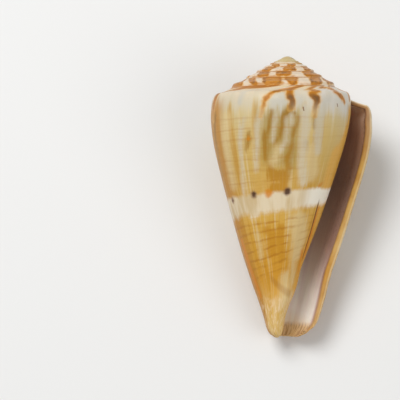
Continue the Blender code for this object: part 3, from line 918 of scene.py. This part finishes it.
class Paint:
    """The shell's places, fields and noises as nodes, and short ways to add more nodes to them."""

    def __init__(self, material):
        self.tree = material.node_tree
        girth, fall, inward = self.corner_values('skin')
        flame, tawny, pale = self.corner_values('marks')
        spot, orange, cream = self.corner_values('specks')
        self.values = {'girth': girth, 'fall': fall, 'inward': inward, 'turn': self.times(girth, 1 / GIRTH)}
        scale = self.math('POWER', WHORL_RATIO, self.values['turn'])
        drop = self.step('turn', *BAND_SLANT)
        ragged = self.sway(grain=0.2, fine=0.5, streak_edge=0.4)
        flame_edge = self.sway(ragged=0.4, fine=0.1)
        patchy_fall = self.add(fall, self.sway(patch=0.5))
        self.values.update({
            'depth': self.times(self.add(fall, WIDEST[1] - WIDEST_FALL), scale),
            'warped': self.add(fall, self.sway(coarse=2.2, fine=0.9, patch=1.2)),
            'golden': self.sway(coarse=0.7, fine=0.5),
            'light': self.sway(coarse=-0.6, fine=0.55),
            'back_bands': self.noise('back_bands', girth, patchy_fall),
            'tawny': self.add(tawny, ragged),
            'cream': self.add(cream, ragged),
            'pale': self.add(pale, ragged),
            'band_top': self.add(fall, self.sway(band_edge=0.3, grain=0.2), drop),
            'band_bottom': self.add(fall, self.sway(band_edge=-0.3, coarse=0.4, grain=0.3)),
            'orange': self.add(orange, self.times(flame_edge, 0.6)),
            'flame': self.add(flame, flame_edge),
            'suture': self.add(fall, self.sway(ragged=0.35)),
            'above_suture': self.add(fall, self.sway(ragged=0.5)),
            'spot': self.add(spot, self.sway(grain=0.1)),
            'lip': self.add(inward, self.sway(grain=0.1)),
            'lip_mottle': self.noise('lip_mottle', self.add(girth, inward), fall),
            'wall_place': self.add(inward, self.sway(wall_streak=0.9)),
            'canal_mottle': self.noise('canal_mottle', girth, self.add(fall, inward)),
        })
        self.values['right_edge'] = self.add(self.values['turn'], self.step('warped', *RIGHT_EDGE_SLANT))

    def put(self, kind, values=(), **settings):
        node = self.tree.nodes.new(kind)
        for name, value in settings.items():
            setattr(node, name, value)
        for key, value in dict(values).items():
            if isinstance(value, bpy.types.NodeSocket):
                self.tree.links.new(value, node.inputs[key])
            else:
                node.inputs[key].default_value = value
        return node

    def corner_values(self, name):
        vector = self.put('ShaderNodeAttribute', attribute_name=name).outputs['Vector']
        return self.put('ShaderNodeSeparateXYZ', {0: vector}).outputs

    def math(self, operation, first, second=0.0, third=0.0):
        values = {0: first, 1: second, 2: third}
        return self.put('ShaderNodeMath', values, operation=operation).outputs[0]

    def add(self, *terms):
        total = terms[0]
        for term in terms[1:]:
            total = self.math('ADD', total, term)
        return total

    def times(self, *factors):
        total = factors[0]
        for factor in factors[1:]:
            total = self.math('MULTIPLY', total, factor)
        return total

    def value(self, name):
        """A value by its name. A noise is made when it is first asked for."""
        if name not in self.values:
            self.values[name] = self.noise(name, self.values['girth'], self.values['fall'])
        return self.values[name]

    def noise(self, name, x, y):
        across, down, seed, detail = NOISES[name]
        place_values = {0: self.times(x, 1 / across), 1: self.times(y, 1 / down), 2: seed}
        place_vector = self.put('ShaderNodeCombineXYZ', place_values).outputs[0]
        values = {'Vector': place_vector, 'Scale': 1.0, 'Detail': detail, 'Roughness': NOISE_ROUGHNESS}
        return self.put('ShaderNodeTexNoise', values).outputs[0]

    def sway(self, **amounts):
        """The sum of the named noises, each as a change of about plus or minus its amount."""
        return self.add(*[self.math('MULTIPLY_ADD', self.value(name), 4 * amount, -2 * amount)
                          for name, amount in amounts.items()])

    def step(self, value, edge, ends=(0.0, 1.0)):
        """Smooth change of a value, or a value's name, from the edge's first number to its second."""
        value = self.value(value) if isinstance(value, str) else value
        values = {0: value, 1: edge[0], 2: edge[1], 3: ends[0], 4: ends[1]}
        return self.put('ShaderNodeMapRange', values, interpolation_type='SMOOTHSTEP').outputs[0]

    def mask(self, edges):
        """1 inside all soft edges and 0 outside, or between the ends that an edge gives."""
        steps = []
        for name, numbers in edges.items():
            if isinstance(numbers[0], tuple):
                steps.append(self.step(name, *numbers))
            else:
                steps.append(self.step(name, numbers[:2]))
            if len(numbers) == 4:
                steps.append(self.step(name, numbers[:1:-1]))
        return self.times(*steps)

    def mix(self, share, below, above):
        tones = [linear(*tone) if isinstance(tone, tuple) else tone for tone in (below, above)]
        values = {0: share, 6: tones[0], 7: tones[1]}
        return self.put('ShaderNodeMix', values, data_type='RGBA').outputs[2]

    def layer(self, below, shown, share, edges):
        shown = self.ramp(*shown) if isinstance(shown, tuple) and len(shown) == 2 else shown
        return self.mix(self.times(self.mask(edges), share), below, shown)

    def layers(self, below, rows):
        for row in rows:
            below = self.layer(below, *row)
        return below

    def ramp(self, value, stops):
        """Tones along a value, or a value's name."""
        value = self.value(value) if isinstance(value, str) else value
        low = stops[0][0]
        high = stops[-1][0]
        place_value = self.put('ShaderNodeMapRange', {0: value, 1: low, 2: high}).outputs[0]
        node = self.put('ShaderNodeValToRGB', {0: place_value})
        elements = node.color_ramp.elements
        while len(elements) < len(stops):
            elements.new(1.0)
        for element, (position, colour) in zip(elements, stops):
            element.position = (position - low) / (high - low)
            element.color = linear(*colour)
        return node.outputs[0]


def spiral_lines(paint, colour):
    """Fine lines, close and strong on the lower body, wide apart and faint above."""
    place_value = paint.add(paint.value('fall'), paint.sway(wobble=0.45, small_wobble=0.16))
    more = paint.step('turn', BACK, (0.0, MORE_BACK_LINES))
    unbroken = paint.step(paint.add(paint.value('line_breaks'), more), LINE_BREAKS)
    present = paint.times(unbroken, paint.step('turn', *LINES_AT_LEFT))
    for spacing, first, low, high, width, in_front, on_back in SPIRAL_LINES:
        phase = paint.times(paint.add(place_value, -first), 2 / spacing)
        line = paint.step(paint.math('PINGPONG', phase, 1.0), (width, 0.0))
        edges = {'fall': (low - 1, low + 1, high - 2, high + 2), 'turn': (BACK, (in_front, on_back))}
        colour = paint.mix(paint.times(line, present, paint.mask(edges)), colour, LINE_TONE)
    return colour


def pale_band(paint, colour):
    """The pale band round the lower body, with ragged edges."""
    gaps = paint.times(paint.mask(BAND_GAPS), -BAND_GAP_SHARE)
    return paint.layer(colour, paint.layers(BAND_WHITE, BAND_LAYERS), paint.add(gaps, BAND_SHARE), BAND)


def flames(paint, colour):
    """Flames and blotches, darker in patches and in two flames at the front."""
    colour = paint.layers(colour, UNDER_FLAMES)
    front = paint.times(paint.mask(DARK_FRONT), paint.step('fall', *DARK_FRONT_FADE))
    shares = paint.add(*[paint.step('turn', *row) for row in DARK_SHARES])
    patches = paint.times(paint.mask(DARK_PATCHES), shares)
    tones = paint.ramp(paint.add(paint.value('flame'), paint.sway(patch=0.6)), FLAME_TONES)
    tones = paint.mix(paint.math('MAXIMUM', patches, front), tones, paint.ramp('flame', DARK_TONES))
    return paint.layers(paint.mix(paint.mask(FLAME), colour, tones), SUTURE_LINES)


def spots(paint, colour):
    tones = paint.layer(paint.ramp('spot', SPOT_TONES), *BACK_SPOTS)
    return paint.layer(colour, tones, SPOT_SHARE, SPOT)


def thin_lines(paint, colour):
    shake = paint.sway(shake=0.12)
    girth, fall = paint.value('girth'), paint.value('fall')
    lines = [(DOWN_TONE, fall, girth, first, last, start * GIRTH, end * GIRTH, bulge * GIRTH, *look)
             for first, last, start, end, bulge, *look in LINES_DOWN]
    lines += [(ROUND_TONE, girth, fall, first * GIRTH, last * GIRTH, *rest)
              for first, last, *rest in LINES_ROUND]
    for tone, along, across, first, last, start, end, bulge, half, strength in lines:
        share = paint.put('ShaderNodeMapRange', {0: along, 1: first, 2: last}, clamp=False).outputs[0]
        way = paint.math('MULTIPLY_ADD', share, end - start, start)
        arch = paint.times(share, paint.math('SUBTRACT', 1.0, share), 4 * bulge)
        away = paint.math('ABSOLUTE', paint.math('SUBTRACT', paint.add(across, shake), paint.add(way, arch)))
        from_middle = paint.math('ABSOLUTE', paint.math('SUBTRACT', share, 0.5))
        line = paint.times(paint.step(away, [half * side for side in LINE_SIDES]),
                           paint.step(from_middle, LINE_ENDS, (strength, 0.0)))
        colour = paint.mix(line, colour, tone)
    return colour


def inside(paint, colour):
    """The lip's edge, the inner walls and the glaze that runs out of the aperture."""
    edge = paint.layer(paint.ramp('fall', LIP_TONES), *LIP_MOTTLES)
    colour = paint.layers(paint.mix(paint.mask(LIP), colour, edge), INNER_LAYERS)
    wall = paint.ramp('fall', WALL_TONES)
    wall = paint.mix(paint.mask(WALL_STREAK), wall, paint.ramp('fall', WALL_STREAKS))
    colour = paint.mix(paint.mask(WALL), colour, wall)
    colour = paint.layer(colour, paint.layer(CANAL_CREAM, *CANAL_BROWN), CANAL_SHARE, CANAL)
    return paint.layer(colour, wall, GLAZE_SHARE, GLAZE)


def make_shell_material():
    material = bpy.data.materials.new('shell_porcelain')
    material.use_nodes = True
    paint = Paint(material)
    colour = spiral_lines(paint, paint.layers(paint.ramp('warped', GROUND), GROUND_LAYERS))
    colour = pale_band(paint, paint.layers(colour, WORN_LAYERS))
    colour = thin_lines(paint, spots(paint, flames(paint, colour)))
    colour = inside(paint, paint.layers(colour, APEX_LAYERS))

    inner = paint.step('inward', *INSIDE_ROUGHNESS)
    roughness = paint.add(paint.sway(grain=0.05, fine=0.05), inner, ROUGHNESS)
    striae = paint.times(paint.sway(striae=0.012), paint.step('fall', *STRIAE_SHARE))
    height_mm = paint.add(paint.sway(growth=0.012, grain=0.006), striae)
    bump = paint.put('ShaderNodeBump', {'Strength': BUMP_STRENGTH, 'Distance': MM, 'Height': height_mm})
    shader = material.node_tree.nodes['Principled BSDF']
    sockets = {'Base Color': colour, 'Roughness': roughness, 'Normal': bump.outputs[0]}
    for name, socket in sockets.items():
        material.node_tree.links.new(socket, shader.inputs[name])
    for name, value in SHADER.items():
        shader.inputs[name].default_value = value
    return material


def make_stage():
    bpy.ops.mesh.primitive_plane_add(size=FLOOR_SIZE)
    floor = bpy.context.active_object
    floor.name = 'floor'
    material = bpy.data.materials.new('floor_pale')
    material.use_nodes = True
    shader = material.node_tree.nodes['Principled BSDF']
    shader.inputs['Base Color'].default_value = FLOOR_COLOUR
    shader.inputs['Roughness'].default_value = FLOOR_ROUGHNESS
    floor.data.materials.append(material)


def make_light(name, place_m, size, energy):
    light = bpy.data.lights.new(name, 'AREA')
    light.shape = 'DISK'
    light.size = size
    light.energy = energy
    lamp = bpy.data.objects.new(name, light)
    lamp.location = place_m
    lamp.rotation_euler = (Vector(LIGHT_AIM) - Vector(place_m)).to_track_quat('-Z', 'Y').to_euler()
    bpy.context.scene.collection.objects.link(lamp)


def make_lights():
    world = bpy.data.worlds.new('studio')
    world.use_nodes = True
    sky = world.node_tree.nodes['Background'].inputs
    sky['Color'].default_value = (1.0, 1.0, 1.0, 1.0)
    sky['Strength'].default_value = SKY_STRENGTH
    bpy.context.scene.world = world
    for light in LIGHTS:
        make_light(*light)


def camera_axes():
    """Right, up and back of a camera that looks square at the shell's axis, with its tilt."""
    right = Vector((1, 0, 0))
    up = Vector((0, math.cos(PITCH), math.sin(PITCH)))
    back = Vector((0, -math.sin(PITCH), math.cos(PITCH)))
    tilt = Matrix.Rotation(CAMERA_TILT, 3, back)
    return tilt @ right, tilt @ up, back


def make_camera(apex):
    """Aimed so that the apex and the scale are as in the photograph."""
    right, up, back = camera_axes()
    across = (APEX_PIXEL[0] - PHOTO_SIZE / 2) * MM_PER_PIXEL
    above = (PHOTO_SIZE / 2 - APEX_PIXEL[1]) * MM_PER_PIXEL
    target = apex - (right * across + up * above + back * AIM_UNDER_APEX) * MM
    place_m = (Vector((0, 0, CAMERA_CENTRE_HEIGHT)) + back * CAMERA_DISTANCE) * MM
    way = (place_m - target).normalized()
    side = up.cross(way).normalized()
    data = bpy.data.cameras.new('camera')
    data.sensor_width = SENSOR_WIDTH
    data.lens = SENSOR_WIDTH * CAMERA_DISTANCE / (PHOTO_SIZE * MM_PER_PIXEL)
    data.clip_start, data.clip_end = CLIP_RANGE_M
    camera = bpy.data.objects.new('camera', data)
    camera.matrix_world = Matrix((side, way.cross(side), way)).transposed().to_4x4()
    camera.location = place_m
    bpy.context.scene.collection.objects.link(camera)
    bpy.context.scene.camera = camera


bpy.context.scene.view_settings.view_transform = 'Standard'
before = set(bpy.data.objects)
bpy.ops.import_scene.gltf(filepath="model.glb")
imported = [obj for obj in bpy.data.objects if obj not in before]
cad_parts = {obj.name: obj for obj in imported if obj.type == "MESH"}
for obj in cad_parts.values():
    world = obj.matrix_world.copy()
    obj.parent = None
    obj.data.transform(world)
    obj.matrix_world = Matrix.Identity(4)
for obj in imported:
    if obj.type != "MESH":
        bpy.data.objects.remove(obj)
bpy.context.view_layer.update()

shell = make_shell()
shell.data.materials.append(make_shell_material())
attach(shell, 'root')
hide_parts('shell')

apex = max((vertex.co for vertex in shell.data.vertices), key=lambda co: co.y)
make_stage()
make_lights()
make_camera(apex.copy())
